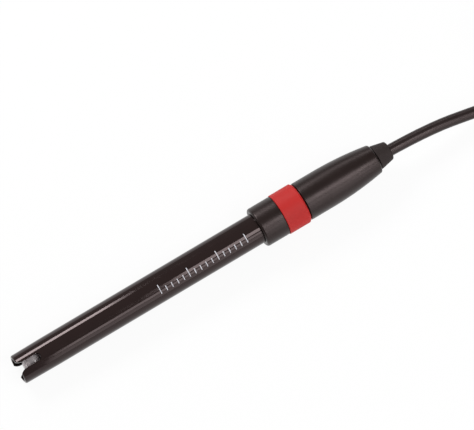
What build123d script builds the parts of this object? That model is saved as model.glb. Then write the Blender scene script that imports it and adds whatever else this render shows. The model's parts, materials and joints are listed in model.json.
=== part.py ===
from build123d import *
import math
import os

# A combination pH electrode lying on a bench: a slotted black shaft round a glass bulb, a collar, a red
# filling ring that turns, a bullet-shaped handle, and a coaxial cable that ends in a bayonet plug.
# Millimetres, +Z up, +X from the tip towards the cable, origin on the bench under the electrode's middle.
# Stations are distances from the tip along the electrode; rolls are angles from straight up towards -Y.

os.makedirs("parts", exist_ok=True)

# Fits
bond_gap = 0.05
running_gap = 0.05
seat_gap = 0.02

# Shaft and bulb guard
shaft_diameter = 12.0
shaft_length = 104.0
shaft_wall = 1.3
shaft_socket = 7.0
shaft_socket_step = 0.5
shaft_relief = 0.1
tip_draft = 0.3
tip_draft_length = 14.0
tip_edge_radius = 0.5
slot_width = 2.8
slot_mouth_width = 3.6
slot_flare_length = 2.4
slot_depth = 9.4
slot_roll = 11.5

# Glass stem with its bulb
stem_diameter = 5.0
stem_wall = 0.8
bulb_diameter = 7.8
bulb_wall = 0.5
bulb_recess = 2.3
shoulder_radius = 1.2

# Potting, junction and silver wires
tip_seal_setback = 1.2
tip_seal_length = 5.0
junction_diameter = 1.2
junction_proud = 0.4
lane_roll = 100.0
wire_diameter = 0.8
wire_coat_diameter = 1.5
wire_coat_length = 7.0
wire_coat_lead = 1.0
wire_tail = 2.0
reference_setback = 24.0

# Collar and spigot
collar_diameter = 15.9
collar_length = 9.6
collar_front_radius = 0.9
collar_back_radius = 0.2
spigot_diameter = 12.4
fill_hole_diameter = 2.5
fill_hole_roll = -60.0

# Filling ring and its seals
ring_proud = 0.25
ring_length = 9.5
ring_front_gap = 0.1
ring_back_gap = 0.35
ring_front_radius = 0.3
ring_back_chamfer = 0.7
ring_port_roll = -120.0
seal_section = 1.0
seal_groove_width = 1.3
seal_spacing = 5.6

# Stopper
stopper_length = 6.0
stopper_flange = 1.5
stem_tail = 1.0

# Handle
handle_step = 0.2
handle_length = 32.4
handle_straight = 9.0
handle_end_diameter = 11.5
handle_wall = 1.7
handle_overlap = 8.0
handle_front_radius = 0.3
handle_end_radius = 0.8
nose_wall = 2.6

# Cable ferrule
ferrule_gap = 0.2
ferrule_length = 6.0
ferrule_base_diameter = 9.9
ferrule_end_diameter = 7.3
ferrule_edge_radius = 0.6
ferrule_shank_diameter = 6.6
ferrule_flange_diameter = 7.6
ferrule_flange = 1.5

# Cable and its stripped end in the handle
cable_diameter = 4.6
cable_stub = 1.0
crimp_length = 4.0
crimp_diameter = 6.6
core_diameter = 1.6
screen_lead_diameter = 0.8
screen_land_radius = 1.7
screen_bend_radius = 1.0

# Put-away hank and its tie
hank_run = 76.0
hank_fold_radius = 13.8
hank_columns = 1
hank_layers = 4
hank_corner_radius = 2.2
hank_exit_angle = 20.0
tie_width = 8.0
tie_thickness = 0.8
tie_gap = 0.1

# Bayonet plug, with its stations counted from the back of its boot
boot_length = 20.0
boot_back_diameter = 7.2
boot_front_diameter = 10.4
boot_edge_radius = 0.8
boot_groove_count = 4
boot_groove_width = 1.2
boot_groove_depth = 0.7
boot_groove_pitch = 2.6
boot_groove_start = 4.0
cable_in_boot = 11.0
crimp_sleeve_diameter = 7.0
crimp_sleeve_wall = 0.7
crimp_sleeve_lap = 2.0
crimp_neck_wall = 0.9
back_shell_diameter = 11.4
back_shell_length = 5.0
back_shell_socket = 3.0
body_neck_diameter = 8.0
body_bore_diameter = 6.6
body_flange_diameter = 9.7
body_flange = 1.4
contact_diameter = 8.1
contact_length = 9.6
contact_slot_width = 0.6
contact_slot_length = 5.5
contact_slot_count = 4
insulator_length = 12.0
insulator_nose_diameter = 4.8
insulator_nose_length = 3.0
pin_diameter = 1.35
pin_length = 21.0
pin_tip_radius = 0.5
gasket_thickness = 1.0
sleeve_diameter = 14.5
sleeve_length = 15.9
sleeve_lip = 1.8
sleeve_edge_chamfer = 0.6
sleeve_travel = 0.8
flute_count = 20
flute_diameter = 1.6
flute_depth = 0.4
flute_start = 3.0
flute_length = 6.5
bayonet_width = 2.2
bayonet_depth = 0.8
bayonet_turn = 75.0
bayonet_entry = 6.4
washer_thickness = 0.6
spring_thickness = 0.3
spring_height = 1.4

# Radii and stations along the electrode
shaft_radius = shaft_diameter / 2
shaft_bore_radius = shaft_radius - shaft_wall
tip_radius = shaft_radius - tip_draft / 2
stem_radius = stem_diameter / 2
bulb_radius = bulb_diameter / 2
lane_radius = (stem_radius + shaft_bore_radius) / 2
collar_radius = collar_diameter / 2
spigot_radius = spigot_diameter / 2
ring_radius = collar_radius + ring_proud
ring_bore_radius = spigot_radius + running_gap
handle_radius = collar_radius - handle_step
handle_end_half = handle_end_diameter / 2
cable_radius = cable_diameter / 2

collar_start = shaft_length
collar_end = collar_start + collar_length
shaft_end = collar_start + shaft_socket
shaft_socket_radius = shaft_radius - shaft_socket_step
shaft_land_end = collar_start - shaft_relief
ring_start = collar_end + ring_front_gap
ring_end = ring_start + ring_length
ring_middle = (ring_start + ring_end) / 2
handle_start = ring_end + ring_back_gap
handle_end = handle_start + handle_length
spigot_end = handle_start + handle_overlap
stopper_end = spigot_end + stopper_flange
stem_end = stopper_end + stem_tail
wire_end = stem_end + wire_tail
nose_inside = handle_end - nose_wall
ferrule_start = handle_end + ferrule_gap
ferrule_end = ferrule_start + ferrule_length
ferrule_flange_start = nose_inside - ferrule_flange
crimp_start = ferrule_flange_start - crimp_length
cable_start = crimp_start - cable_stub
bulb_centre = bulb_recess + bulb_radius
tip_seal_start = slot_depth + tip_seal_setback

# The electrode lies on the round of its guard's edge and the round of its ring's front edge
rest_run = (ring_start + ring_front_radius) - tip_edge_radius
rest_rise = (ring_radius - ring_front_radius) - (tip_radius - tip_edge_radius)
rest_span = math.hypot(rest_run, rest_rise)
lie = math.atan2(rest_rise, rest_run) + math.asin((ring_front_radius - tip_edge_radius) / rest_span)
tip_height = (
    tip_edge_radius + (tip_radius - tip_edge_radius) * math.cos(lie) - tip_edge_radius * math.sin(lie)
)
electrode = Plane(
    origin=(-ferrule_end * math.cos(lie) / 2, 0, tip_height),
    x_dir=(math.cos(lie), 0, math.sin(lie)),
    z_dir=(0, -1, 0),
)
electrode_axis = Axis(electrode.origin, electrode.x_dir)


def outward(plane, roll):
    """The direction square to a long piece's axis at a roll."""
    angle = math.radians(roll)
    return plane.y_dir * math.cos(angle) + plane.z_dir * math.sin(angle)


def across(plane, station, roll=0):
    """The plane square to the axis at a station, with its x pointing along a roll."""
    return Plane(
        plane.from_local_coords((station, 0, 0)), x_dir=outward(plane, roll), z_dir=plane.x_dir
    )


def facing(plane, station, roll):
    """The plane that holds the axis at a station and looks out along a roll."""
    return Plane(
        plane.from_local_coords((station, 0, 0)), x_dir=plane.x_dir, z_dir=outward(plane, roll)
    )


# Shaft: a drafted tube whose tip is slotted right across into two prongs
with BuildPart() as shaft_tube:
    with BuildSketch(electrode):
        with BuildLine():
            Polyline(
                (0, shaft_bore_radius),
                (0, tip_radius),
                (tip_draft_length, shaft_radius),
                (shaft_land_end, shaft_radius),
                (shaft_land_end, shaft_socket_radius),
                (shaft_end, shaft_socket_radius),
                (shaft_end, shaft_bore_radius),
                close=True,
            )
        tip_edge = make_face().vertices().sort_by_distance((0, tip_radius))[0]
        fillet(tip_edge, tip_edge_radius)
    revolve(axis=electrode_axis)
    with BuildSketch(facing(electrode, 0, slot_roll)):
        with Locations((0, 0)):
            Rectangle(slot_depth - slot_width / 2, slot_width, align=(Align.MIN, Align.CENTER))
        with Locations((slot_depth - slot_width / 2, 0)):
            Circle(slot_width / 2)
        with BuildLine():
            Polyline(
                (0, slot_mouth_width / 2),
                (slot_flare_length, slot_width / 2),
                (slot_flare_length, -slot_width / 2),
                (0, -slot_mouth_width / 2),
                close=True,
            )
        make_face()
    extrude(amount=shaft_diameter, both=True, mode=Mode.SUBTRACT)
shaft_tube.part.label = "shaft_tube"
export_step(shaft_tube.part, "parts/shaft_tube.step")

# Glass stem: a thin bulb blown on the end of a tube, with a rounded shoulder between them
neck_station = bulb_centre + math.sqrt(bulb_radius**2 - stem_radius**2)
with BuildPart() as glass_stem:
    with BuildSketch(electrode):
        with Locations((bulb_centre, 0)):
            Circle(bulb_radius)
        with Locations((bulb_centre, 0)):
            Rectangle(stem_end - bulb_centre, stem_diameter, align=(Align.MIN, Align.CENTER))
        with Locations((bulb_recess, 0)):
            half_plane = (stem_end - bulb_recess, bulb_radius)
            Rectangle(*half_plane, align=(Align.MIN, Align.MIN), mode=Mode.INTERSECT)
        shoulder = vertices().sort_by_distance((neck_station, stem_radius))[0]
        fillet(shoulder, shoulder_radius)
        with Locations((bulb_centre, 0)):
            Circle(bulb_radius - bulb_wall, mode=Mode.SUBTRACT)
        with Locations((bulb_centre, 0)):
            stem_bore = (stem_end - bulb_centre, stem_radius - stem_wall)
            Rectangle(*stem_bore, align=(Align.MIN, Align.MIN), mode=Mode.SUBTRACT)
    revolve(axis=electrode_axis)
glass_stem.part.label = "glass_stem"
export_step(glass_stem.part, "parts/glass_stem.step")

# Tip seal: a potted ring between the shaft and the stem, with the junction's hole
with BuildPart() as tip_seal:
    with BuildSketch(across(electrode, tip_seal_start, lane_roll)):
        Circle(shaft_bore_radius)
        Circle(stem_radius + seat_gap, mode=Mode.SUBTRACT)
        with Locations((lane_radius, 0)):
            Circle(junction_diameter / 2 + seat_gap, mode=Mode.SUBTRACT)
    extrude(amount=tip_seal_length)
tip_seal.part.label = "tip_seal"
export_step(tip_seal.part, "parts/tip_seal.step")

# Junction: a porous ceramic pin set through the tip seal
with BuildPart() as junction:
    with BuildSketch(across(electrode, tip_seal_start - junction_proud, lane_roll)):
        with Locations((lane_radius, 0)):
            Circle(junction_diameter / 2)
    extrude(amount=tip_seal_length + 2 * junction_proud)
junction.part.label = "junction"
export_step(junction.part, "parts/junction.step")

# Inner wire: silver, with a thicker coated end inside the bulb
coat_start = bulb_centre - wire_coat_lead
with BuildPart() as inner_wire:
    with BuildSketch(electrode):
        with Locations((coat_start, 0)):
            Rectangle(wire_end - coat_start, wire_diameter / 2, align=(Align.MIN, Align.MIN))
            Rectangle(wire_coat_length, wire_coat_diameter / 2, align=(Align.MIN, Align.MIN))
        coat_tip = vertices().sort_by_distance((coat_start, wire_coat_diameter / 2))[0]
        fillet(coat_tip, wire_diameter / 2)
    revolve(axis=electrode_axis)
inner_wire.part.label = "inner_wire"
export_step(inner_wire.part, "parts/inner_wire.step")

# Reference wire: silver, in the electrolyte space beside the stem
reference_start = tip_seal_start + reference_setback
with BuildPart() as reference_wire:
    with BuildSketch(across(electrode, reference_start, lane_roll)):
        with Locations((lane_radius, 0)):
            Circle(wire_diameter / 2)
    extrude(amount=wire_end - reference_start)
reference_wire.part.label = "reference_wire"
export_step(reference_wire.part, "parts/reference_wire.step")

# Neck: the collar that takes the shaft's end, and the spigot behind it with two seal grooves
groove_floor = spigot_radius - seal_section - seat_gap
seal_stations = (ring_middle - seal_spacing / 2, ring_middle + seal_spacing / 2)
with BuildPart() as neck:
    with BuildSketch(electrode):
        with BuildLine():
            Polyline(
                (collar_start, shaft_socket_radius + bond_gap),
                (collar_start, collar_radius),
                (collar_end, collar_radius),
                (collar_end, spigot_radius),
                (spigot_end, spigot_radius),
                (spigot_end, shaft_bore_radius),
                (shaft_end, shaft_bore_radius),
                (shaft_end, shaft_socket_radius + bond_gap),
                close=True,
            )
        make_face()
        fillet(vertices().sort_by_distance((collar_start, collar_radius))[0], collar_front_radius)
        fillet(vertices().sort_by_distance((collar_end, collar_radius))[0], collar_back_radius)
        for station in seal_stations:
            with Locations((station, groove_floor)):
                groove = (seal_groove_width, spigot_diameter)
                Rectangle(*groove, align=(Align.CENTER, Align.MIN), mode=Mode.SUBTRACT)
    revolve(axis=electrode_axis)
    with BuildSketch(facing(electrode, ring_middle, fill_hole_roll)):
        Circle(fill_hole_diameter / 2)
    extrude(amount=spigot_diameter, mode=Mode.SUBTRACT)
neck.part.label = "neck"
export_step(neck.part, "parts/neck.step")

# Ring seals: two O-rings that run inside the filling ring
for seal_name, station in zip(("ring_seal_front", "ring_seal_rear"), seal_stations):
    with BuildPart() as ring_seal:
        with BuildSketch(electrode):
            with Locations((station, groove_floor + seat_gap + seal_section / 2)):
                Circle(seal_section / 2)
        revolve(axis=electrode_axis)
    ring_seal.part.label = seal_name
    export_step(ring_seal.part, f"parts/{seal_name}.step")

# Filling ring: turns on the spigot until its port meets the filling hole
with BuildPart() as fill_ring:
    with BuildSketch(electrode):
        with Locations((ring_start, ring_bore_radius)):
            Rectangle(ring_length, ring_radius - ring_bore_radius, align=(Align.MIN, Align.MIN))
        fillet(vertices().sort_by_distance((ring_start, ring_radius))[0], ring_front_radius)
        chamfer(vertices().sort_by_distance((ring_end, ring_radius))[0], ring_back_chamfer)
    revolve(axis=electrode_axis)
    with BuildSketch(facing(electrode, ring_middle, ring_port_roll)):
        Circle(fill_hole_diameter / 2)
    extrude(amount=ring_radius * 2, mode=Mode.SUBTRACT)
fill_ring.part.label = "fill_ring"
export_step(fill_ring.part, "parts/fill_ring.step")

# Stopper: a rubber bung in the neck's end that holds the stem and the reference wire
with BuildPart() as stopper:
    with BuildSketch(across(electrode, spigot_end - stopper_length)):
        Circle(shaft_bore_radius - bond_gap)
    extrude(amount=stopper_length)
    with BuildSketch(across(electrode, spigot_end)):
        Circle(spigot_radius)
    extrude(amount=stopper_flange)
    with BuildSketch(across(electrode, spigot_end - stopper_length, lane_roll)):
        Circle(stem_radius + seat_gap)
        with Locations((lane_radius, 0)):
            Circle(wire_diameter / 2 + seat_gap)
    extrude(amount=stopper_length + stopper_flange, mode=Mode.SUBTRACT)
stopper.part.label = "stopper"
export_step(stopper.part, "parts/stopper.step")

# Handle: a hollow bullet pressed on the spigot, straight at first and then one long convex arc to its nose
cavity_radius = handle_radius - handle_wall
cavity_start = stopper_end + ferrule_gap
with BuildPart() as handle:
    with BuildSketch(electrode):
        with BuildLine():
            Polyline(
                (nose_inside, 0),
                (handle_start, 0),
                (handle_start, handle_radius),
                (handle_start + handle_straight, handle_radius),
            )
            TangentArc(
                (handle_start + handle_straight, handle_radius), (handle_end, handle_end_half), tangent=(1, 0)
            )
            Polyline((handle_end, handle_end_half), (handle_end, 0), (nose_inside, 0))
        make_face()
        fillet(vertices().sort_by_distance((handle_start, handle_radius))[0], handle_front_radius)
        fillet(vertices().sort_by_distance((handle_end, handle_end_half))[0], handle_end_radius)
        with Locations((handle_start, 0)):
            socket = (cavity_start - handle_start, spigot_radius + seat_gap)
            Rectangle(*socket, align=(Align.MIN, Align.MIN), mode=Mode.SUBTRACT)
        with BuildLine():
            Polyline((nose_inside, 0), (cavity_start, 0), (cavity_start, cavity_radius))
            TangentArc(
                (cavity_start, cavity_radius), (nose_inside, handle_end_half - handle_wall), tangent=(1, 0)
            )
            Line((nose_inside, handle_end_half - handle_wall), (nose_inside, 0))
        make_face(mode=Mode.SUBTRACT)
        with Locations((nose_inside, 0)):
            nose_hole = (nose_wall, ferrule_shank_diameter / 2 + seat_gap)
            Rectangle(*nose_hole, align=(Align.MIN, Align.MIN), mode=Mode.SUBTRACT)
    revolve(axis=electrode_axis)
handle.part.label = "handle"
export_step(handle.part, "parts/handle.step")

# Cable ferrule: a rubber cone outside, a shank through the nose and a flange that holds it inside
with BuildPart() as cable_ferrule:
    with BuildSketch(electrode):
        with BuildLine():
            Polyline(
                (ferrule_flange_start, cable_radius + seat_gap),
                (ferrule_flange_start, ferrule_flange_diameter / 2),
                (nose_inside, ferrule_flange_diameter / 2),
                (nose_inside, ferrule_shank_diameter / 2),
                (ferrule_start, ferrule_shank_diameter / 2),
                (ferrule_start, ferrule_base_diameter / 2),
                (ferrule_end, ferrule_end_diameter / 2),
                (ferrule_end, cable_radius + seat_gap),
                close=True,
            )
        make_face()
        for corner in ((ferrule_start, ferrule_base_diameter / 2), (ferrule_end, ferrule_end_diameter / 2)):
            fillet(vertices().sort_by_distance(corner)[0], ferrule_edge_radius)
    revolve(axis=electrode_axis)
cable_ferrule.part.label = "cable_ferrule"
export_step(cable_ferrule.part, "parts/cable_ferrule.step")

# Cable crimp: a brass ring on the cable behind the ferrule's flange
with BuildPart() as cable_crimp:
    with BuildSketch(across(electrode, crimp_start)):
        Circle(crimp_diameter / 2)
        Circle(cable_radius + seat_gap, mode=Mode.SUBTRACT)
    extrude(amount=crimp_length)
cable_crimp.part.label = "cable_crimp"
export_step(cable_crimp.part, "parts/cable_crimp.step")

# Core lead: the cable's stripped core, from its end to the inner wire
with BuildPart() as core_lead:
    with BuildSketch(across(electrode, wire_end)):
        Circle(core_diameter / 2)
    extrude(amount=cable_start - wire_end)
core_lead.part.label = "core_lead"
export_step(core_lead.part, "parts/core_lead.step")

# Screen lead: the twisted screen, bent from the cable's end out to the reference wire
lead_run = cable_start - wire_end
lane_plane = facing(electrode, wire_end, lane_roll + 90)
with BuildPart() as screen_lead:
    with BuildLine(lane_plane):
        FilletPolyline(
            (0, lane_radius),
            (lead_run / 3, lane_radius),
            (2 * lead_run / 3, screen_land_radius),
            (lead_run, screen_land_radius),
            radius=screen_bend_radius,
        )
    with BuildSketch(across(electrode, wire_end, lane_roll)):
        with Locations((lane_radius, 0)):
            Circle(screen_lead_diameter / 2)
    sweep()
screen_lead.part.label = "screen_lead"
export_step(screen_lead.part, "parts/screen_lead.step")


def bend_radii(points):
    """The largest bend that each inner point of a cable's route has room for."""
    radii = []
    for before, here, after in zip(points, points[1:], points[2:]):
        arriving = here - before
        leaving = after - here
        room = 0.45 * min(arriving.length, leaving.length)
        radii.append(room / math.tan(math.radians(arriving.get_angle(leaving) / 2)))
    return radii


# Route of the free cable, chosen by hand: along X and Y from the ferrule's end, and above the bench
hank_lift = tie_thickness + tie_gap
ferrule_mouth = electrode.from_local_coords((ferrule_end, 0, 0))
lead_points = [
    electrode.from_local_coords((cable_start, 0, 0)),
    electrode.from_local_coords((ferrule_end + 12.6, 0, 0)),
    Vector(ferrule_mouth.X + 41.0, -3.0, 3.4),
    Vector(ferrule_mouth.X + 57.5, -7.2, 2.6),
    Vector(ferrule_mouth.X + 73.5, -9.6, hank_lift + cable_radius),
]
lead_radii = bend_radii(lead_points)
print("cable_lead radii", [round(radius, 1) for radius in lead_radii])

# Cable lead: the stretch from the crimp to the hank
with BuildPart() as cable_lead:
    with BuildLine():
        lead_path = FilletPolyline(*lead_points, radius=lead_radii)
    with BuildSketch(Plane(lead_path @ 0, z_dir=lead_path % 0)):
        Circle(cable_radius)
    sweep()
cable_lead.part.label = "cable_lead"
export_step(cable_lead.part, "parts/cable_lead.step")

# Cable hank: the outer shape of the put-away turns, two straight bundles joined by two folds
hank_half_width = hank_columns * cable_diameter / 2
hank_height = hank_layers * cable_diameter
hank_inner_radius = hank_fold_radius - cable_radius
hank_middle_radius = hank_inner_radius + hank_half_width
hank_outer_radius = hank_middle_radius + hank_half_width
outer_turn_radius = hank_outer_radius - cable_radius
hank_centre = Vector(lead_points[-1].X + hank_run / 2, lead_points[-1].Y + outer_turn_radius, hank_lift)
with BuildPart() as cable_hank:
    with BuildSketch(Plane(hank_centre)):
        SlotCenterToCenter(hank_run, 2 * hank_outer_radius)
        SlotCenterToCenter(hank_run, 2 * hank_inner_radius, mode=Mode.SUBTRACT)
    extrude(amount=hank_height)
    fillet(faces().filter_by(Axis.Z).edges(), hank_corner_radius)
cable_hank.part.label = "cable_hank"
export_step(cable_hank.part, "parts/cable_hank.step")

# Cable tie: a flat band wrapped once round all the turns, at the far fold
far_fold = hank_centre + Vector(hank_run / 2, 0, 0)
tie_sweep = math.degrees(tie_width / hank_middle_radius)
tie_angle = math.radians(-tie_sweep / 2)
tie_side = Plane(
    far_fold,
    x_dir=(math.cos(tie_angle), math.sin(tie_angle), 0),
    z_dir=(math.sin(tie_angle), -math.cos(tie_angle), 0),
)
with BuildPart() as cable_tie:
    with BuildSketch(tie_side):
        with Locations((hank_middle_radius, hank_height / 2)):
            RectangleRounded(
                2 * (hank_half_width + hank_lift), hank_height + 2 * hank_lift, hank_corner_radius + hank_lift
            )
            RectangleRounded(
                2 * (hank_half_width + tie_gap),
                hank_height + 2 * tie_gap,
                hank_corner_radius + tie_gap,
                mode=Mode.SUBTRACT,
            )
    revolve(axis=Axis(far_fold, (0, 0, 1)), revolution_arc=tie_sweep)
cable_tie.part.label = "cable_tie"
export_step(cable_tie.part, "parts/cable_tie.step")

# Route of the cable's end, from the top of the far fold down to the plug's axis, chosen by hand
sleeve_radius = sleeve_diameter / 2
exit_turn = math.radians(hank_exit_angle)
hank_exit = far_fold + Vector(
    outer_turn_radius * math.sin(exit_turn),
    -outer_turn_radius * math.cos(exit_turn),
    hank_height - cable_radius,
)
tail_points = [
    hank_exit,
    hank_exit + Vector(9.4, 3.4, -0.2),
    Vector(hank_exit.X + 36.0, hank_exit.Y + 4.6, sleeve_radius),
    Vector(hank_exit.X + 54.5, hank_exit.Y + 4.6, sleeve_radius),
]
tail_radii = bend_radii(tail_points)
print("cable_tail radii", [round(radius, 1) for radius in tail_radii])

# Cable tail: the stretch from the hank into the plug
with BuildPart() as cable_tail:
    with BuildLine():
        tail_path = FilletPolyline(*tail_points, radius=tail_radii)
    with BuildSketch(Plane(tail_path @ 0, z_dir=tail_path % 0)):
        Circle(cable_radius)
    sweep()
cable_tail.part.label = "cable_tail"
export_step(cable_tail.part, "parts/cable_tail.step")
cable_section = math.pi * cable_radius**2
for cable_piece, cable_path in ((cable_lead, lead_path), (cable_tail, tail_path)):
    volume_share = cable_piece.part.volume / (cable_section * cable_path.length)
    print(cable_piece.part.label, "volume over section times length", round(volume_share, 4))

# Plug frame: its axis follows the cable's last run, level with the bench, at the height of the resting sleeve
plug_heading = (tail_points[-1] - tail_points[-2]).normalized()
plug = Plane(
    tail_points[-1] - plug_heading * cable_in_boot,
    x_dir=plug_heading,
    z_dir=plug_heading.cross(Vector(0, 0, 1)),
)
plug_axis = Axis(plug.origin, plug.x_dir)
crimp_neck_radius = crimp_sleeve_diameter / 2 - crimp_sleeve_wall - seat_gap
body_neck_radius = body_neck_diameter / 2
body_bore_radius = body_bore_diameter / 2
sleeve_bore_radius = body_flange_diameter / 2 + running_gap
crimp_sleeve_start = cable_in_boot - crimp_sleeve_lap
shell_end = boot_length + back_shell_length
body_start = shell_end - back_shell_socket
sleeve_start = shell_end + running_gap
lip_end = sleeve_start + sleeve_lip
washer_start = lip_end + running_gap
spring_start = washer_start + washer_thickness + seat_gap
flange_start = spring_start + spring_height + seat_gap
flange_end = flange_start + body_flange
contact_end = flange_end + contact_length
sleeve_end = sleeve_start + sleeve_length

# Plug boot: a grooved rubber cone over the crimp
with BuildPart() as plug_boot:
    with BuildSketch(plug):
        with BuildLine():
            Polyline(
                (0, cable_radius + seat_gap),
                (0, boot_back_diameter / 2),
                (boot_length, boot_front_diameter / 2),
                (boot_length, crimp_sleeve_diameter / 2 + seat_gap),
                (crimp_sleeve_start, crimp_sleeve_diameter / 2 + seat_gap),
                (crimp_sleeve_start, cable_radius + seat_gap),
                close=True,
            )
        make_face()
        for corner in ((0, boot_back_diameter / 2), (boot_length, boot_front_diameter / 2)):
            fillet(vertices().sort_by_distance(corner)[0], boot_edge_radius)
        for groove_index in range(boot_groove_count):
            groove_station = boot_groove_start + groove_index * boot_groove_pitch
            boot_flare = (boot_front_diameter - boot_back_diameter) / 2 / boot_length
            groove_bottom = boot_back_diameter / 2 + groove_station * boot_flare - boot_groove_depth
            with Locations((groove_station, groove_bottom)):
                boot_groove = (boot_groove_width, boot_front_diameter)
                Rectangle(*boot_groove, align=(Align.CENTER, Align.MIN), mode=Mode.SUBTRACT)
    revolve(axis=plug_axis)
plug_boot.part.label = "plug_boot"
export_step(plug_boot.part, "parts/plug_boot.step")

# Plug crimp: the sleeve crushed over the cable's screen and the back shell's neck
with BuildPart() as plug_crimp:
    with BuildSketch(across(plug, crimp_sleeve_start)):
        Circle(crimp_sleeve_diameter / 2)
        Circle(crimp_sleeve_diameter / 2 - crimp_sleeve_wall, mode=Mode.SUBTRACT)
    extrude(amount=boot_length - crimp_sleeve_start)
plug_crimp.part.label = "plug_crimp"
export_step(plug_crimp.part, "parts/plug_crimp.step")

# Plug back shell: the crimp neck, and the shoulder that stops the bayonet sleeve
with BuildPart() as plug_back_shell:
    with BuildSketch(plug):
        with BuildLine():
            Polyline(
                (cable_in_boot, crimp_neck_radius - crimp_neck_wall),
                (cable_in_boot, crimp_neck_radius),
                (boot_length, crimp_neck_radius),
                (boot_length, back_shell_diameter / 2),
                (shell_end, back_shell_diameter / 2),
                (shell_end, body_neck_radius + seat_gap),
                (body_start, body_neck_radius + seat_gap),
                (body_start, crimp_neck_radius - crimp_neck_wall),
                close=True,
            )
        make_face()
        shell_edges = ((boot_length, back_shell_diameter / 2), (shell_end, back_shell_diameter / 2))
        for corner in shell_edges:
            chamfer(vertices().sort_by_distance(corner)[0], sleeve_edge_chamfer)
    revolve(axis=plug_axis)
plug_back_shell.part.label = "plug_back_shell"
export_step(plug_back_shell.part, "parts/plug_back_shell.step")

# Plug body: the neck that the sleeve rides on, its flange, and the slotted outer contact
with BuildPart() as plug_body:
    with BuildSketch(plug):
        with BuildLine():
            Polyline(
                (body_start, body_bore_radius),
                (body_start, body_neck_radius),
                (flange_start, body_neck_radius),
                (flange_start, body_flange_diameter / 2),
                (flange_end, body_flange_diameter / 2),
                (flange_end, contact_diameter / 2),
                (contact_end, contact_diameter / 2),
                (contact_end, body_bore_radius),
                close=True,
            )
        make_face()
    revolve(axis=plug_axis)
    with BuildSketch(across(plug, contact_end)):
        with PolarLocations(0, contact_slot_count // 2, angular_range=180):
            Rectangle(contact_slot_width, 2 * contact_diameter)
    extrude(amount=-contact_slot_length, mode=Mode.SUBTRACT)
plug_body.part.label = "plug_body"
export_step(plug_body.part, "parts/plug_body.step")

# Plug insulator: a stepped bush in the body's bore
with BuildPart() as plug_insulator:
    with BuildSketch(across(plug, body_start)):
        Circle(body_bore_radius - seat_gap)
    extrude(amount=insulator_length)
    with BuildSketch(across(plug, body_start + insulator_length)):
        Circle(insulator_nose_diameter / 2)
    extrude(amount=insulator_nose_length)
    with BuildSketch(across(plug, body_start)):
        Circle(pin_diameter / 2 + seat_gap)
    extrude(amount=insulator_length + insulator_nose_length, mode=Mode.SUBTRACT)
plug_insulator.part.label = "plug_insulator"
export_step(plug_insulator.part, "parts/plug_insulator.step")

# Plug pin: the centre contact, rounded at its tip
with BuildPart() as plug_pin:
    with BuildSketch(across(plug, body_start - seat_gap)):
        Circle(pin_diameter / 2)
    extrude(amount=pin_length)
    fillet(edges().sort_by(plug_axis)[-1], pin_tip_radius)
plug_pin.part.label = "plug_pin"
export_step(plug_pin.part, "parts/plug_pin.step")

# Plug gasket: a rubber ring against the flange, round the contact's root
with BuildPart() as plug_gasket:
    with BuildSketch(across(plug, flange_end)):
        Circle(body_flange_diameter / 2)
        Circle(contact_diameter / 2 + seat_gap, mode=Mode.SUBTRACT)
    extrude(amount=gasket_thickness)
plug_gasket.part.label = "plug_gasket"
export_step(plug_gasket.part, "parts/plug_gasket.step")

# Plug washer: the thrust washer that the sleeve's lip turns against
with BuildPart() as plug_washer:
    with BuildSketch(across(plug, washer_start)):
        Circle(body_flange_diameter / 2)
        Circle(body_neck_radius + running_gap, mode=Mode.SUBTRACT)
    extrude(amount=washer_thickness)
plug_washer.part.label = "plug_washer"
export_step(plug_washer.part, "parts/plug_washer.step")

# Plug spring: a washer bowed across its width, between the thrust washer and the flange
bow_rise = spring_height - spring_thickness
bow_half = body_flange_diameter / 2
bow_radius = (bow_half**2 + bow_rise**2) / (2 * bow_rise)
with BuildPart() as plug_spring:
    with BuildSketch(across(plug, spring_start)):
        Circle(body_flange_diameter / 2)
        Circle(body_neck_radius + running_gap, mode=Mode.SUBTRACT)
    extrude(amount=spring_height)
    with BuildSketch(plug):
        with Locations((spring_start + spring_height - bow_radius, 0)):
            Circle(bow_radius)
            Circle(bow_radius - spring_thickness, mode=Mode.SUBTRACT)
    extrude(amount=body_flange_diameter, both=True, mode=Mode.INTERSECT)
plug_spring.part.label = "plug_spring"
export_step(plug_spring.part, "parts/plug_spring.step")

# Plug sleeve: a fluted bayonet nut with two inner grooves that turn aside to their locking holes
groove_radius = sleeve_bore_radius + bayonet_depth
lock_station = sleeve_end - bayonet_entry
with BuildPart() as plug_sleeve:
    with BuildSketch(plug):
        with BuildLine():
            Polyline(
                (sleeve_start, body_neck_radius + running_gap),
                (sleeve_start, sleeve_radius),
                (sleeve_end, sleeve_radius),
                (sleeve_end, sleeve_bore_radius),
                (lip_end, sleeve_bore_radius),
                (lip_end, body_neck_radius + running_gap),
                close=True,
            )
        make_face()
        for corner in ((sleeve_start, sleeve_radius), (sleeve_end, sleeve_radius)):
            chamfer(vertices().sort_by_distance(corner)[0], sleeve_edge_chamfer)
    revolve(axis=plug_axis)
    with BuildSketch(across(plug, sleeve_start + flute_start)):
        with PolarLocations(sleeve_radius + flute_diameter / 2 - flute_depth, flute_count):
            Circle(flute_diameter / 2)
    extrude(amount=flute_length, mode=Mode.SUBTRACT)
    for groove_roll in (0, 180):
        with BuildSketch(across(plug, lock_station - bayonet_width / 2, groove_roll + bayonet_turn)):
            Rectangle(groove_radius, bayonet_width, align=(Align.MIN, Align.CENTER))
        extrude(amount=bayonet_entry + bayonet_width / 2, mode=Mode.SUBTRACT)
        with BuildSketch(facing(plug, lock_station, groove_roll + 90)):
            Rectangle(bayonet_width, groove_radius, align=(Align.CENTER, Align.MIN))
        revolve(axis=plug_axis, revolution_arc=bayonet_turn, mode=Mode.SUBTRACT)
        with BuildSketch(facing(plug, lock_station, groove_roll)):
            Circle(bayonet_width / 2)
        extrude(amount=sleeve_diameter, mode=Mode.SUBTRACT)
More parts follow.
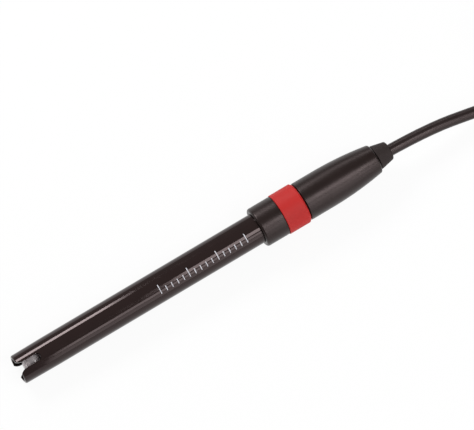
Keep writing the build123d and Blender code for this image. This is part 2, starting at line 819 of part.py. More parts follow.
plug_sleeve.part.label = "plug_sleeve"
export_step(plug_sleeve.part, "parts/plug_sleeve.step")
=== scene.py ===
import json
import math

import bmesh
import bpy
from mathutils import Matrix, Vector


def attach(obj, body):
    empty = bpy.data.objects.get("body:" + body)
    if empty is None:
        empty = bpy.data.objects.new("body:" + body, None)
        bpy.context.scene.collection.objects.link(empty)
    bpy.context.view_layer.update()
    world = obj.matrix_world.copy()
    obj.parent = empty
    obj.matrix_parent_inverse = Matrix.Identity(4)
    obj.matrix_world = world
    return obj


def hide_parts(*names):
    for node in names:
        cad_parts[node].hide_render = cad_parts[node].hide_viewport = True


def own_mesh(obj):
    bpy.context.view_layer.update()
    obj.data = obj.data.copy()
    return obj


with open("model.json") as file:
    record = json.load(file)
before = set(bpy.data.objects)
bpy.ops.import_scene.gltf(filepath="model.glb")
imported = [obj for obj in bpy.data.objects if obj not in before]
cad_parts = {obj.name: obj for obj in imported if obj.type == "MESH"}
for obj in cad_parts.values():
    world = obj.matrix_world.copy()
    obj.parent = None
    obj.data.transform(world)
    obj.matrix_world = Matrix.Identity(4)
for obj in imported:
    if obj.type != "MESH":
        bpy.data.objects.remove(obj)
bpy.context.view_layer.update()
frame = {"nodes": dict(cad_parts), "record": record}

# A laboratory pH electrode lying on a pale bench, finished over its frame. Sizes are in metres.
# Stations are distances from the tip along the electrode.
scene = bpy.context.scene
scene.view_settings.view_transform = "Standard"
joints = {joint["name"]: joint for joint in frame["record"]["behaviour"]["joints"]}

# Electrode axis: the line that the shaft, the collar, the ring and the handle share.
# It is taken from the ring's own hinge, which lies at the middle of the ring.
ring_middle = 0.11845
axis = Vector(joints["ring_turn"]["axis"]).normalized()
tip = Vector(joints["ring_turn"]["pos_m"]) - axis * ring_middle
side = Vector((0, 1, 0))
rise = axis.cross(side)
on_electrode = Matrix.Translation(tip) @ Matrix((axis, side, rise)).transposed().to_4x4()

# View: from above and a little in front, on a long lens, as a packshot of a small instrument is taken.
# Its width takes in the electrode and the start of the cable.
view_azimuth = math.radians(-31.84)
view_elevation = math.radians(70.1)
view_width = 0.1767
lens_length = 400.0
sensor_width = 36.0
aim = Vector((0.01945, 0.00856, 0.00751))
view_right = Vector((math.cos(view_azimuth), math.sin(view_azimuth), 0))
view_ahead = Vector((-math.sin(view_azimuth), math.cos(view_azimuth), 0))
to_camera = Vector((0, 0, math.sin(view_elevation))) - view_ahead * math.cos(view_elevation)
camera_data = bpy.data.cameras.new("camera")
camera_data.lens = lens_length
camera_data.sensor_width = sensor_width
camera_data.sensor_fit = "HORIZONTAL"
camera = bpy.data.objects.new("camera", camera_data)
camera.location = aim + to_camera * (view_width * lens_length / sensor_width)
camera.rotation_euler = to_camera.to_track_quat("Z", "Y").to_euler()
scene.collection.objects.link(camera)
scene.camera = camera

# Bench: a plain pale top under the electrode. It stays white to the camera and in reflections,
# with only a part of the real shading left in, so that the shadow is faint.
bench_half = 2.0
bench_colour = (0.86, 0.86, 0.86, 1)
bench_roughness = 0.9
bench_white_share = 0.93
bench_bm = bmesh.new()
bmesh.ops.create_grid(bench_bm, x_segments=1, y_segments=1, size=bench_half)
bench_mesh = bpy.data.meshes.new("bench")
bench_bm.to_mesh(bench_mesh)
bench_bm.free()
bench = bpy.data.objects.new("bench", bench_mesh)
scene.collection.objects.link(bench)
bench_paint = bpy.data.materials.new("bench_paint")
bench_paint.use_nodes = True
nodes = bench_paint.node_tree.nodes
links = bench_paint.node_tree.links
paint = nodes["Principled BSDF"]
paint.inputs["Base Color"].default_value = bench_colour
paint.inputs["Roughness"].default_value = bench_roughness
white = nodes.new("ShaderNodeEmission")
path = nodes.new("ShaderNodeLightPath")
seen = nodes.new("ShaderNodeMath")
seen.operation = "MAXIMUM"
seen_through = nodes.new("ShaderNodeMath")
seen_through.operation = "MAXIMUM"
share = nodes.new("ShaderNodeMath")
share.operation = "MULTIPLY"
share.inputs[1].default_value = bench_white_share
mix = nodes.new("ShaderNodeMixShader")
links.new(path.outputs["Is Camera Ray"], seen.inputs[0])
links.new(path.outputs["Is Glossy Ray"], seen.inputs[1])
links.new(seen.outputs[0], seen_through.inputs[0])
links.new(path.outputs["Is Transmission Ray"], seen_through.inputs[1])
links.new(seen_through.outputs[0], share.inputs[0])
links.new(share.outputs[0], mix.inputs[0])
links.new(paint.outputs[0], mix.inputs[1])
links.new(white.outputs[0], mix.inputs[2])
links.new(mix.outputs[0], nodes["Material Output"].inputs["Surface"])
bench_mesh.materials.append(bench_paint)

# Studio light: a dim even room, and softboxes set square to the electrode, so that each lays
# one clean band along the shaft. Their tilt is counted from the camera towards the lower right.
room_light = 0.28
softbox_distance = 1.0
world = bpy.data.worlds.new("room")
world.use_nodes = True
world.node_tree.nodes["Background"].inputs["Color"].default_value = (1, 1, 1, 1)
world.node_tree.nodes["Background"].inputs["Strength"].default_value = room_light
scene.world = world
facing_camera = (to_camera - axis * to_camera.dot(axis)).normalized()
lower_right = facing_camera.cross(axis)
lower_right = lower_right if lower_right.dot(view_right) > 0 else -lower_right


def softbox(name, tilt, station, width, length, radiance):
    """A rectangular lamp that faces the electrode, its length along the electrode's axis."""
    angle = math.radians(tilt)
    outward = facing_camera * math.cos(angle) + lower_right * math.sin(angle)
    lamp = bpy.data.lights.new(name, "AREA")
    lamp.shape = "RECTANGLE"
    lamp.size = length
    lamp.size_y = width
    lamp.energy = radiance * math.pi * width * length
    place = bpy.data.objects.new(name, lamp)
    turn = Matrix((axis, outward.cross(axis), outward)).transposed().to_4x4()
    place.matrix_world = Matrix.Translation(tip + axis * station + outward * softbox_distance) @ turn
    scene.collection.objects.link(place)


softbox("key_softbox", tilt=38, station=0.455, width=0.28, length=0.65, radiance=3.8)
softbox("fill_softbox", tilt=60, station=0.470, width=0.42, length=0.70, radiance=1.8)
softbox("head_softbox", tilt=13, station=0.47, width=0.36, length=0.52, radiance=7.0)
softbox("edge_strip", tilt=-66, station=-0.10, width=0.30, length=0.55, radiance=14.0)
softbox("back_softbox", tilt=-77, station=0.62, width=0.32, length=0.56, radiance=2.3)

# Shaft: a moulded tube of glossy black plastic with a warm cast, glued into the collar by its end step.
# Its tip is milled right across into two prongs that guard the bulb. Its grain, the faint unevenness
# of a moulding, is a node group that every other finish shares.
shaft_radius = 0.0060
shaft_bore = 0.0047
tip_radius = 0.00585
draft_length = 0.014
shaft_end = 0.111
land_end = 0.1039
socket_radius = 0.0055
tip_round = 0.0007
rim_round = 0.0003
slot_edge_round = 0.00016
slot_edge_steps = 2
slot_half = 0.0014
slot_mouth_half = 0.0025
slot_flare = 0.0026
slot_depth = 0.0094
slot_roll = math.radians(11.5)
slot_end_points = 16
flare_points = 8
turn_steps = 160
round_steps = 4
near = 1e-7
sharp_angle = math.radians(40)
warm_gleam = (1.0, 0.82, 0.82)
broad_scale = 160.0
broad_detail = 4.0
fine_detail = 3.0
gloss_from = 0.3
gloss_to = 0.7
grain_strength = 0.5
mix_a, mix_b, mix_out = 6, 7, 2  # a Mix node's colour sockets, whose names its other sockets share
grain = bpy.data.node_groups.new("moulded_grain", "ShaderNodeTree")
for socket, direction in (
    ("Fineness", "INPUT"),
    ("Smooth", "INPUT"),
    ("Rough", "INPUT"),
    ("Roughness", "OUTPUT"),
    ("Tone", "OUTPUT"),
    ("Height", "OUTPUT"),
):
    grain.interface.new_socket(socket, in_out=direction, socket_type="NodeSocketFloat")
grain_in = grain.nodes.new("NodeGroupInput")
grain_out = grain.nodes.new("NodeGroupOutput")
grain_place = grain.nodes.new("ShaderNodeTexCoord")
broad = grain.nodes.new("ShaderNodeTexNoise")
broad.inputs["Scale"].default_value = broad_scale
broad.inputs["Detail"].default_value = broad_detail
fine = grain.nodes.new("ShaderNodeTexNoise")
fine.inputs["Detail"].default_value = fine_detail
spread = grain.nodes.new("ShaderNodeMapRange")
spread.inputs["From Min"].default_value = gloss_from
spread.inputs["From Max"].default_value = gloss_to
grain.links.new(grain_place.outputs["Object"], broad.inputs["Vector"])
grain.links.new(grain_place.outputs["Object"], fine.inputs["Vector"])
grain.links.new(grain_in.outputs["Fineness"], fine.inputs["Scale"])
grain.links.new(broad.outputs["Fac"], spread.inputs["Value"])
grain.links.new(grain_in.outputs["Smooth"], spread.inputs["To Min"])
grain.links.new(grain_in.outputs["Rough"], spread.inputs["To Max"])
grain.links.new(spread.outputs["Result"], grain_out.inputs["Roughness"])
grain.links.new(broad.outputs["Fac"], grain_out.inputs["Tone"])
grain.links.new(fine.outputs["Fac"], grain_out.inputs["Height"])


def moulded(name, dark, light, smooth, rough, fineness, depth, metallic=0.0, shine=0.35, gleam=(1, 1, 1)):
    """A solid surface with two close tones, uneven gloss and a fine grain of the given depth."""
    material = bpy.data.materials.new(name)
    material.use_nodes = True
    nodes = material.node_tree.nodes
    links = material.node_tree.links
    surface = nodes["Principled BSDF"]
    surface.inputs["Metallic"].default_value = metallic
    surface.inputs["Specular IOR Level"].default_value = shine
    surface.inputs["Specular Tint"].default_value = (*gleam, 1)
    texture = nodes.new("ShaderNodeGroup")
    texture.node_tree = grain
    texture.inputs["Fineness"].default_value = fineness
    texture.inputs["Smooth"].default_value = smooth
    texture.inputs["Rough"].default_value = rough
    tone = nodes.new("ShaderNodeMix")
    tone.data_type = "RGBA"
    tone.inputs[mix_a].default_value = (*dark, 1)
    tone.inputs[mix_b].default_value = (*light, 1)
    bump = nodes.new("ShaderNodeBump")
    bump.inputs["Strength"].default_value = grain_strength
    bump.inputs["Distance"].default_value = depth
    links.new(texture.outputs["Tone"], tone.inputs[0])
    links.new(tone.outputs[mix_out], surface.inputs["Base Color"])
    links.new(texture.outputs["Roughness"], surface.inputs["Roughness"])
    links.new(texture.outputs["Height"], bump.inputs["Height"])
    links.new(bump.outputs["Normal"], surface.inputs["Normal"])
    return material


def turned(corners, closed=True):
    """A bmesh of (station, radius, edge round) corners spun about the electrode's axis."""
    bm = bmesh.new()
    outline = [bm.verts.new((station, 0, radius)) for station, radius, _ in corners]
    pairs = list(zip(outline, outline[1:]))
    if closed:
        pairs.append((outline[-1], outline[0]))
    geom = outline + [bm.edges.new(pair) for pair in pairs]
    bmesh.ops.spin(
        bm, geom=geom, cent=(0, 0, 0), axis=(1, 0, 0), angle=math.tau, steps=turn_steps, use_merge=True
    )
    bmesh.ops.remove_doubles(bm, verts=bm.verts, dist=near)
    bmesh.ops.recalc_face_normals(bm, faces=bm.faces)
    for station, radius, edge_round in corners:
        if edge_round:
            ring = [
                edge
                for edge in bm.edges
                if all(
                    abs(v.co.x - station) < near and abs(math.hypot(v.co.y, v.co.z) - radius) < near
                    for v in edge.verts
                )
            ]
            bmesh.ops.bevel(
                bm,
                geom=ring,
                offset=edge_round,
                segments=round_steps,
                profile=0.5,
                affect="EDGES",
                material=-1,
            )
    return bm


def placed(name, bm, material, body, slot, *replaced, place=on_electrode):
    """The finished piece: its bmesh laid in place, smooth, and riding on its body."""
    bmesh.ops.transform(bm, matrix=place, verts=bm.verts)
    mesh = bpy.data.meshes.new(name)
    bm.to_mesh(mesh)
    bm.free()
    mesh.shade_smooth()
    mesh.set_sharp_from_angle(angle=sharp_angle)
    mesh.materials.append(material)
    piece = bpy.data.objects.new(name, mesh)
    scene.collection.objects.link(piece)
    even = piece.modifiers.new("even_shading", "WEIGHTED_NORMAL")
    even.keep_sharp = True
    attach(piece, body)
    if replaced:
        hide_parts(*replaced)
    return piece


def cut_away(bm, cutter_bm):
    """The bmesh with another one taken out of it."""
    solids = []
    for label, source in (("body", bm), ("cutter", cutter_bm)):
        mesh = bpy.data.meshes.new(label)
        source.to_mesh(mesh)
        source.free()
        solids.append(bpy.data.objects.new(label, mesh))
        scene.collection.objects.link(solids[-1])
    cut = solids[0].modifiers.new("cut", "BOOLEAN")
    cut.operation = "DIFFERENCE"
    cut.object = solids[1]
    cut.solver = "EXACT"
    graph = bpy.context.evaluated_depsgraph_get()
    result = bmesh.new()
    result.from_object(solids[0], graph)
    for solid in solids:
        mesh = solid.data
        bpy.data.objects.remove(solid)
        bpy.data.meshes.remove(mesh)
    return result


shaft_bm = turned(
    [
        (0, shaft_bore, rim_round),
        (0, tip_radius, tip_round),
        (draft_length, shaft_radius, 0),
        (land_end, shaft_radius, 0),
        (land_end, socket_radius, 0),
        (shaft_end, socket_radius, 0),
        (shaft_end, shaft_bore, 0),
    ]
)
flare_drop = slot_mouth_half - slot_half
flare_bend = (slot_flare**2 + flare_drop**2) / (2 * flare_drop)
flare = [(-slot_flare, slot_mouth_half)]
for step in range(flare_points + 1):
    run = slot_flare * (1 - step / flare_points)
    flare.append((slot_flare - run, slot_half + flare_bend - math.sqrt(flare_bend**2 - run**2)))
slot_outline = list(flare)
slot_round = slot_depth - slot_half
for step in range(slot_end_points + 1):
    turn = math.pi / 2 - math.pi * step / slot_end_points
    slot_outline.append((slot_round + slot_half * math.cos(turn), slot_half * math.sin(turn)))
slot_outline += [(station, -half) for station, half in reversed(flare)]
slot_bm = bmesh.new()
slot_face = slot_bm.faces.new([slot_bm.verts.new((x, y, -2 * shaft_radius)) for x, y in slot_outline])
slot_wall = bmesh.ops.extrude_face_region(slot_bm, geom=[slot_face])
slot_top = [v for v in slot_wall["geom"] if isinstance(v, bmesh.types.BMVert)]
bmesh.ops.translate(slot_bm, verts=slot_top, vec=(0, 0, 4 * shaft_radius))
bmesh.ops.recalc_face_normals(slot_bm, faces=slot_bm.faces)
bmesh.ops.rotate(slot_bm, verts=slot_bm.verts, cent=(0, 0, 0), matrix=Matrix.Rotation(slot_roll, 3, "X"))
guard_bm = cut_away(shaft_bm, slot_bm)
slot_edges = [
    edge
    for edge in guard_bm.edges
    if len(edge.link_faces) == 2
    and edge.calc_face_angle() > sharp_angle
    and max(v.co.x for v in edge.verts) < draft_length
]
bmesh.ops.bevel(
    guard_bm,
    geom=slot_edges,
    offset=slot_edge_round,
    segments=slot_edge_steps,
    profile=0.5,
    affect="EDGES",
    clamp_overlap=True,
    material=-1,
)
gloss_black = moulded(
    "gloss_black", dark=(0.0150, 0.0088, 0.0082), light=(0.0190, 0.0112, 0.0104),
    smooth=0.05, rough=0.09, fineness=900.0, depth=0.000002, gleam=warm_gleam,
)
placed("shaft", guard_bm, gloss_black, "electrode", "shaft_black", "shaft_tube")

# Scale: plain white marks printed on the shaft with screen ink, to read by how deep the electrode dips.
# The first is long, and then every fifth.
scale_start = 0.060
scale_step = 0.0025
scale_marks = 16
long_mark_every = 5
mark_half = 0.00017
mark_base = math.radians(45)
short_span = math.radians(20)
long_span = math.radians(36)
mark_points = 12
ink_proud = 0.00002
scale_bm = bmesh.new()
mark_start = Matrix.Rotation(mark_base, 3, "X") @ Vector((0, 0, shaft_radius + ink_proud))
for mark in range(scale_marks):
    span = short_span if mark % long_mark_every else long_span
    station = scale_start + scale_step * mark
    ends = [
        scale_bm.verts.new(mark_start + Vector((end, 0, 0)))
        for end in (station - mark_half, station + mark_half)
    ]
    mark_geom = ends + [scale_bm.edges.new(ends)]
    bmesh.ops.spin(
        scale_bm, geom=mark_geom, cent=(0, 0, 0), axis=(1, 0, 0), angle=-span, steps=mark_points
    )
ink_skin = bmesh.ops.extrude_face_region(scale_bm, geom=scale_bm.faces[:])
ink_back = [v for v in ink_skin["geom"] if isinstance(v, bmesh.types.BMVert)]
ink_depth = (shaft_radius - ink_proud) / (shaft_radius + ink_proud)
bmesh.ops.scale(scale_bm, verts=ink_back, vec=(1, ink_depth, ink_depth))
bmesh.ops.recalc_face_normals(scale_bm, faces=scale_bm.faces)
white_ink = moulded(
    "white_ink", dark=(0.58, 0.58, 0.62), light=(0.66, 0.66, 0.70),
    smooth=0.45, rough=0.6, fineness=1500.0, depth=0.000004,
)
placed("scale_marks", scale_bm, white_ink, "electrode", "core_plastic")

# Glass: a stem with the pH bulb blown on its end, one piece, bonded into the shaft.
# The bulb is thin and clear with a faint pink cast, and stands back behind the guard's rim.
stem_radius = 0.0025
stem_bore = 0.0017
stem_end = 0.13405
bulb_radius = 0.0039
bulb_bore = 0.0034
bulb_middle = 0.0062
shoulder_radius = 0.0012
shoulder_bore = 0.0017
bulb_points = 32
shoulder_points = 8
glass_transmission = 0.55
glass_index = 1.5


def blown(bulb, stem, shoulder):
    """The outline of a round bulb that runs into its stem in one smooth shoulder."""
    reach = math.sqrt((bulb + shoulder) ** 2 - (stem + shoulder) ** 2)
    lean = math.atan2(stem + shoulder, reach)
    outline = []
    for step in range(bulb_points + 1):
        turn = math.pi - (math.pi - lean) * step / bulb_points
        outline.append((bulb_middle + bulb * math.cos(turn), bulb * math.sin(turn), 0))
    for step in range(1, shoulder_points + 1):
        turn = math.pi + lean + (math.pi / 2 - lean) * step / shoulder_points
        station = bulb_middle + reach + shoulder * math.cos(turn)
        outline.append((station, stem + shoulder + shoulder * math.sin(turn), 0))
    return outline


glass_outline = blown(bulb_radius, stem_radius, shoulder_radius)
glass_outline += [(stem_end, stem_radius, 0), (stem_end, stem_bore, 0)]
glass_outline += reversed(blown(bulb_bore, stem_bore, shoulder_bore))
clear_glass = moulded(
    "clear_glass", dark=(0.97, 0.88, 0.89), light=(0.99, 0.93, 0.94),
    smooth=0.015, rough=0.03, fineness=300.0, depth=0.000001, shine=1.0,
)
glass_surface = clear_glass.node_tree.nodes["Principled BSDF"]
glass_surface.inputs["Transmission Weight"].default_value = glass_transmission
glass_surface.inputs["IOR"].default_value = glass_index
placed("glass", turned(glass_outline, closed=False), clear_glass, "electrode", "clear_glass", "glass_stem")

# Electrode's inside: a white silicone potting cast in place, a porous ceramic junction, and two silver
# wires. The wire in the bulb has a dark red-brown coat baked on its end, and is bare silver behind it.
coat_end = 0.0122
bare_silver = (0.80, 0.78, 0.75)


def finished(material, *names):
    """Gives CAD nodes their finish."""
    for name in names:
        mesh = frame["nodes"][name].data
        mesh.materials.clear()
        mesh.materials.append(material)


white_potting = moulded(
    "white_potting", dark=(0.76, 0.70, 0.69), light=(0.86, 0.81, 0.79),
    smooth=0.4, rough=0.6, fineness=700.0, depth=0.00003,
)
finished(white_potting, "tip_seal")
ceramic = moulded(
    "ceramic", dark=(0.70, 0.67, 0.61), light=(0.82, 0.80, 0.75),
    smooth=0.75, rough=0.9, fineness=5000.0, depth=0.00004,
)
finished(ceramic, "junction")
silver = moulded(
    "silver_wire", dark=(0.62, 0.60, 0.57), light=bare_silver,
    smooth=0.22, rough=0.4, fineness=4000.0, depth=0.00001, metallic=1.0,
)
finished(silver, "reference_wire")
coated_wire = moulded(
    "coated_wire", dark=(0.090, 0.012, 0.010), light=(0.17, 0.022, 0.018),
    smooth=0.45, rough=0.65, fineness=3000.0, depth=0.00005,
)
wire_nodes = coated_wire.node_tree.nodes
wire_links = coated_wire.node_tree.links
wire_surface = wire_nodes["Principled BSDF"]
wire_place = wire_nodes.new("ShaderNodeTexCoord")
wire_along = wire_nodes.new("ShaderNodeSeparateXYZ")
wire_bare = wire_nodes.new("ShaderNodeMath")
wire_bare.operation = "GREATER_THAN"
wire_bare.inputs[1].default_value = (tip + axis * coat_end).x
wire_colour = wire_nodes.new("ShaderNodeMix")
wire_colour.data_type = "RGBA"
wire_colour.inputs[mix_b].default_value = (*bare_silver, 1)
wire_links.new(wire_place.outputs["Object"], wire_along.inputs[0])
wire_links.new(wire_along.outputs["X"], wire_bare.inputs[0])
wire_links.new(wire_bare.outputs[0], wire_colour.inputs[0])
wire_links.new(wire_surface.inputs["Base Color"].links[0].from_socket, wire_colour.inputs[mix_a])
wire_links.new(wire_colour.outputs[mix_out], wire_surface.inputs["Base Color"])
wire_links.new(wire_bare.outputs[0], wire_surface.inputs["Metallic"])
finished(coated_wire, "inner_wire")

# Neck: the collar that is glued over the shaft's end and the spigot behind it, one satin black moulding
# with a big soft edge in front. The spigot has two seal grooves with the filling hole between them,
# and a rubber stopper in its end holds the stem.
collar_start = 0.104
collar_end = 0.1136
collar_radius = 0.00795
collar_front_round = 0.0009
collar_back_round = 0.0002
spigot_radius = 0.0062
spigot_end = 0.13155
bond_gap = 0.00005
groove_floor = 0.00518
groove_half = 0.00065
groove_offset = 0.0028
hole_radius = 0.00125
hole_roll = math.radians(-60)
hole_steps = 32


def drill(roll):
    """A bmesh rod that goes through one wall at the ring's middle, for a filling hole."""
    bm = bmesh.new()
    bmesh.ops.create_cone(
        bm, cap_ends=True, segments=hole_steps, radius1=hole_radius, radius2=hole_radius, depth=collar_radius
    )
    bmesh.ops.translate(bm, verts=bm.verts, vec=(ring_middle, 0, collar_radius))
    bmesh.ops.rotate(bm, verts=bm.verts, cent=(0, 0, 0), matrix=Matrix.Rotation(roll, 3, "X"))
    return bm


neck_outline = [
    (collar_start, socket_radius + bond_gap, 0),
    (collar_start, collar_radius, collar_front_round),
    (collar_end, collar_radius, collar_back_round),
    (collar_end, spigot_radius, 0),
]
for groove in (ring_middle - groove_offset, ring_middle + groove_offset):
    neck_outline += [
        (groove - groove_half, spigot_radius, 0),
        (groove - groove_half, groove_floor, 0),
        (groove + groove_half, groove_floor, 0),
        (groove + groove_half, spigot_radius, 0),
    ]
neck_outline += [
    (spigot_end, spigot_radius, 0),
    (spigot_end, shaft_bore, 0),
    (shaft_end, shaft_bore, 0),
    (shaft_end, socket_radius + bond_gap, 0),
]
neck_bm = cut_away(turned(neck_outline), drill(hole_roll))
satin_black = moulded(
    "satin_black", dark=(0.0100, 0.0060, 0.0052), light=(0.0140, 0.0086, 0.0076),
    smooth=0.28, rough=0.35, fineness=2600.0, depth=0.000010, gleam=warm_gleam,
)
placed("neck_and_spigot", neck_bm, satin_black, "electrode", "body_black", "neck")
seal_rubber = moulded(
    "seal_rubber", dark=(0.012, 0.012, 0.012), light=(0.020, 0.020, 0.019),
    smooth=0.4, rough=0.6, fineness=2500.0, depth=0.00002,
)
finished(seal_rubber, "ring_seal_front", "ring_seal_rear", "stopper")

# Filling ring: a matte red moulding that turns on the spigot, with a port through its wall.
# Its back edge is chamfered.
ring_start = 0.1137
ring_end = 0.1232
ring_radius = 0.0082
ring_bore = 0.00625
ring_front_round = 0.0003
ring_chamfer = 0.0007
ring_chamfer_round = 0.00012
port_roll = math.radians(-120)
ring_bm = turned(
    [
        (ring_start, ring_bore, 0),
        (ring_start, ring_radius, ring_front_round),
        (ring_end - ring_chamfer, ring_radius, ring_chamfer_round),
        (ring_end, ring_radius - ring_chamfer, ring_chamfer_round),
        (ring_end, ring_bore, 0),
    ]
)
port_bm = cut_away(ring_bm, drill(port_roll))
matte_red = moulded(
    "matte_red", dark=(0.445, 0.019, 0.017), light=(0.490, 0.022, 0.020),
    smooth=0.50, rough=0.62, fineness=2600.0, depth=0.000015, shine=0.22,
)
placed("filling_ring_red", port_bm, matte_red, "filling_ring", "ring_red", "fill_ring")

# Handle: a hollow satin black bullet pressed on the spigot, straight at first and then
# one long convex arc to its nose.
handle_start = 0.12355
handle_end = 0.15595
handle_radius = 0.00775
handle_straight = 0.009
handle_nose = 0.00575
handle_front_round = 0.0003
handle_end_round = 0.0008
handle_wall = 0.0017
cavity_start = 0.13325
nose_inside = 0.15335
arc_points = 40
shank_radius = 0.0033
seat_gap = 0.00002


def long_arc(start, end, start_radius, end_radius):
    """The outline of one long convex arc that starts level with the axis."""
    run = end - start
    drop = start_radius - end_radius
    bend = (run**2 + drop**2) / (2 * drop)
    outline = []
    for step in range(arc_points + 1):
        along = run * step / arc_points
        outline.append((start + along, start_radius - bend + math.sqrt(bend**2 - along**2), 0))
    return outline


handle_outline = [
    (handle_start, spigot_radius + seat_gap, 0),
    (handle_start, handle_radius, handle_front_round),
]
handle_outline += long_arc(handle_start + handle_straight, handle_end, handle_radius, handle_nose)[:-1]
handle_outline += [
    (handle_end, handle_nose, handle_end_round),
    (handle_end, shank_radius + seat_gap, 0),
    (nose_inside, shank_radius + seat_gap, 0),
]
cavity = long_arc(cavity_start, nose_inside, handle_radius - handle_wall, handle_nose - handle_wall)
handle_outline += reversed(cavity)
handle_outline.append((cavity_start, spigot_radius + seat_gap, 0))
placed("bullet_handle", turned(handle_outline), satin_black, "electrode", "body_black", "handle")

# Cable ferrule: a soft cone of matte black rubber round the cable, its flange held inside the handle's
# nose. Behind it, a brass crimp stops the cable, and the core and screen go on to the two wires.
ferrule_start = 0.15615
ferrule_end = 0.16215
ferrule_base = 0.00495
ferrule_mouth = 0.00365
ferrule_round = 0.0006
ferrule_flange = 0.0038
flange_start = 0.15185
cable_radius = 0.0023
ferrule_bm = turned(
    [
        (flange_start, cable_radius + seat_gap, 0),
        (flange_start, ferrule_flange, 0),
        (nose_inside, ferrule_flange, 0),
        (nose_inside, shank_radius, 0),
        (ferrule_start, shank_radius, 0),
        (ferrule_start, ferrule_base, ferrule_round),
        (ferrule_end, ferrule_mouth, ferrule_round),
        (ferrule_end, cable_radius + seat_gap, 0),
    ]
)
matte_rubber = moulded(
    "matte_rubber", dark=(0.013, 0.0095, 0.0088), light=(0.019, 0.0145, 0.0135),
    smooth=0.55, rough=0.7, fineness=2200.0, depth=0.00003, gleam=warm_gleam,
)
placed("rubber_ferrule", ferrule_bm, matte_rubber, "electrode", "black_rubber", "cable_ferrule")
brass = moulded(
    "brass", dark=(0.62, 0.42, 0.16), light=(0.72, 0.50, 0.21),
    smooth=0.28, rough=0.42, fineness=3000.0, depth=0.00001, metallic=1.0,
)
finished(brass, "cable_crimp")
white_core = moulded(
    "white_core", dark=(0.66, 0.65, 0.62), light=(0.76, 0.75, 0.72),
    smooth=0.35, rough=0.5, fineness=1500.0, depth=0.00001,
)
finished(white_core, "core_lead")
finished(silver, "screen_lead")

# Cable: one round coaxial lead with a satin black jacket, a little under a metre long. It leaves the
# ferrule, settles on the bench, and its spare length is put away in a tied hank that ends in the plug.
cable_smoothness = 8
hank_run = 0.076
hank_fold = 0.0138
hank_turns = 3
fold_points = 12
lead_points = [
    (0.0657609, 0, 0.0088783),
    (0.0936549, 0, 0.0094558),
    (0.1220576, -0.0030, 0.0034),
    (0.1385576, -0.0072, 0.0026),
]
hank_start = Vector((0.1545576, -0.0096, 0.0032))
tail_points = [
    (0.2352775, -0.0087678, 0.0170),
    (0.2446775, -0.0053678, 0.0168),
    (0.2712775, -0.0041678, 0.00725),
    (0.2897775, -0.0041678, 0.00725),
]
# The curve runs a little inside its points, so those of a fold stand further out than the fold itself.
fold_step = math.pi / fold_points
fold_reach = hank_fold * 4 / (3 + math.cos(fold_step))
near_fold = hank_start + Vector((0, hank_fold, 0))
far_fold = near_fold + Vector((hank_run, 0, 0))
layer = Vector((0, 0, 2 * cable_radius))
hank_points = [hank_start]
for turn in range(hank_turns):
    for fold, first_angle, climb in ((far_fold, -math.pi / 2, 0), (near_fold, math.pi / 2, 1)):
        for step in range(fold_points + 1):
            angle = fold_step * step + first_angle
            bend = Vector((math.cos(angle), math.sin(angle), 0)) * fold_reach
            hank_points.append(fold + bend + layer * (turn + climb * step / fold_points))
hank_points.append(far_fold - Vector((0, fold_reach, 0)) + layer * hank_turns)
cable_curve = bpy.data.curves.new("cable", "CURVE")
cable_curve.dimensions = "3D"
cable_spline = cable_curve.splines.new("NURBS")
cable_points = lead_points + hank_points + tail_points
cable_spline.points.add(len(cable_points) - 1)
for point, place in zip(cable_spline.points, cable_points):
    point.co = (*place, 1)
cable_spline.order_u = 3
cable_spline.use_endpoint_u = True
cable_spline.resolution_u = cable_smoothness
cable_curve.bevel_depth = cable_radius
cable_curve.bevel_resolution = cable_smoothness
cable_curve.use_fill_caps = True
jacket = moulded(
    "cable_jacket", dark=(0.0125, 0.0082, 0.0076), light=(0.0170, 0.0112, 0.0104),
    smooth=0.28, rough=0.38, fineness=1800.0, depth=0.00001, gleam=warm_gleam,
)
cable_curve.materials.append(jacket)
cable = bpy.data.objects.new("cable", cable_curve)
scene.collection.objects.link(cable)
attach(cable, "electrode")
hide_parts("cable_lead", "cable_hank", "cable_tail")

# Cable tie: a woven black band, wrapped round the hank's far fold and closed on itself.
# Its threads cross at right angles. Their fine lines are a node group that the plug's metal shares.
thread_pitch = 0.0008
thread_depth = 0.00008
lines = bpy.data.node_groups.new("fine_lines", "ShaderNodeTree")
lines.interface.new_socket("Along", in_out="INPUT", socket_type="NodeSocketVector")
lines.interface.new_socket("Height", in_out="OUTPUT", socket_type="NodeSocketFloat")
lines_in = lines.nodes.new("NodeGroupInput")
lines_out = lines.nodes.new("NodeGroupOutput")
lines_place = lines.nodes.new("ShaderNodeTexCoord")
lines_phase = lines.nodes.new("ShaderNodeVectorMath")
lines_phase.operation = "DOT_PRODUCT"
lines_wave = lines.nodes.new("ShaderNodeMath")
lines_wave.operation = "SINE"
lines.links.new(lines_place.outputs["Object"], lines_phase.inputs[0])
lines.links.new(lines_in.outputs["Along"], lines_phase.inputs[1])
lines.links.new(lines_phase.outputs["Value"], lines_wave.inputs[0])
lines.links.new(lines_wave.outputs[0], lines_out.inputs["Height"])


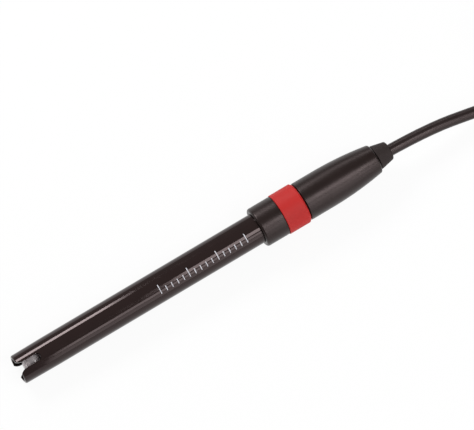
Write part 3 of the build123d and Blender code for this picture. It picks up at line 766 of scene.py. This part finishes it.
def lined(material, along, pitch, depth):
    """Lays fine parallel lines over a surface, such as threads or turning marks."""
    nodes = material.node_tree.nodes
    links = material.node_tree.links
    normal = nodes["Principled BSDF"].inputs["Normal"]
    ridges = nodes.new("ShaderNodeGroup")
    ridges.node_tree = lines
    ridges.inputs["Along"].default_value = Vector(along) * math.tau / pitch
    bump = nodes.new("ShaderNodeBump")
    bump.inputs["Distance"].default_value = depth
    links.new(ridges.outputs["Height"], bump.inputs["Height"])
    links.new(normal.links[0].from_socket, bump.inputs["Normal"])
    links.new(bump.outputs["Normal"], normal)


tie_band = moulded(
    "tie_band", dark=(0.012, 0.012, 0.013), light=(0.024, 0.024, 0.025),
    smooth=0.8, rough=0.95, fineness=2500.0, depth=0.00008,
)
lined(tie_band, (1, 1, 0), thread_pitch, thread_depth)
lined(tie_band, (0, 0, 1), thread_pitch, thread_depth)
finished(tie_band, "cable_tie")

# Plug: a bayonet plug of nickel-plated brass, turned on a lathe, with a gilt pin in a white insulator,
# a red rubber gasket and a rubber boot pushed over its crimp.
turning_pitch = 0.0003
turning_depth = 0.000003
nickel = moulded(
    "nickel", dark=(0.46, 0.44, 0.41), light=(0.56, 0.54, 0.50),
    smooth=0.2, rough=0.34, fineness=900.0, depth=0.000006, metallic=1.0,
)
lined(nickel, (1, 0, 0), turning_pitch, turning_depth)
finished(nickel, "plug_crimp", "plug_back_shell", "plug_body", "plug_washer", "plug_sleeve")
gold = moulded(
    "gold", dark=(0.83, 0.58, 0.22), light=(0.88, 0.64, 0.28),
    smooth=0.15, rough=0.25, fineness=2000.0, depth=0.000004, metallic=1.0,
)
finished(gold, "plug_pin")
gasket = moulded(
    "gasket", dark=(0.36, 0.05, 0.03), light=(0.44, 0.07, 0.04),
    smooth=0.5, rough=0.65, fineness=2000.0, depth=0.00002,
)
finished(gasket, "plug_gasket")
finished(white_core, "plug_insulator")
finished(matte_rubber, "plug_boot")

# Bowed spring: a ring of spring steel between the thrust washer and the flange of the plug's body.
# It lies loose on the body's neck, and flattens as the sleeve is pushed forward.
spring_bm = bmesh.new()
spring_bm.from_mesh(frame["nodes"]["plug_spring"].data)
bmesh.ops.remove_doubles(spring_bm, verts=spring_bm.verts, dist=near)
spring = placed("bowed_spring", spring_bm, nickel, "electrode", "nickel", "plug_spring", place=Matrix())
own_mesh(spring)

# Cord: the cable is one length, and the tie, the plug and its spring are listed as the pieces that go with
# it.
on_cable = [
    node for name, node in frame["nodes"].items() if name.startswith("plug_") and name != "plug_spring"
]
on_cable += [frame["nodes"]["cable_tie"], spring]
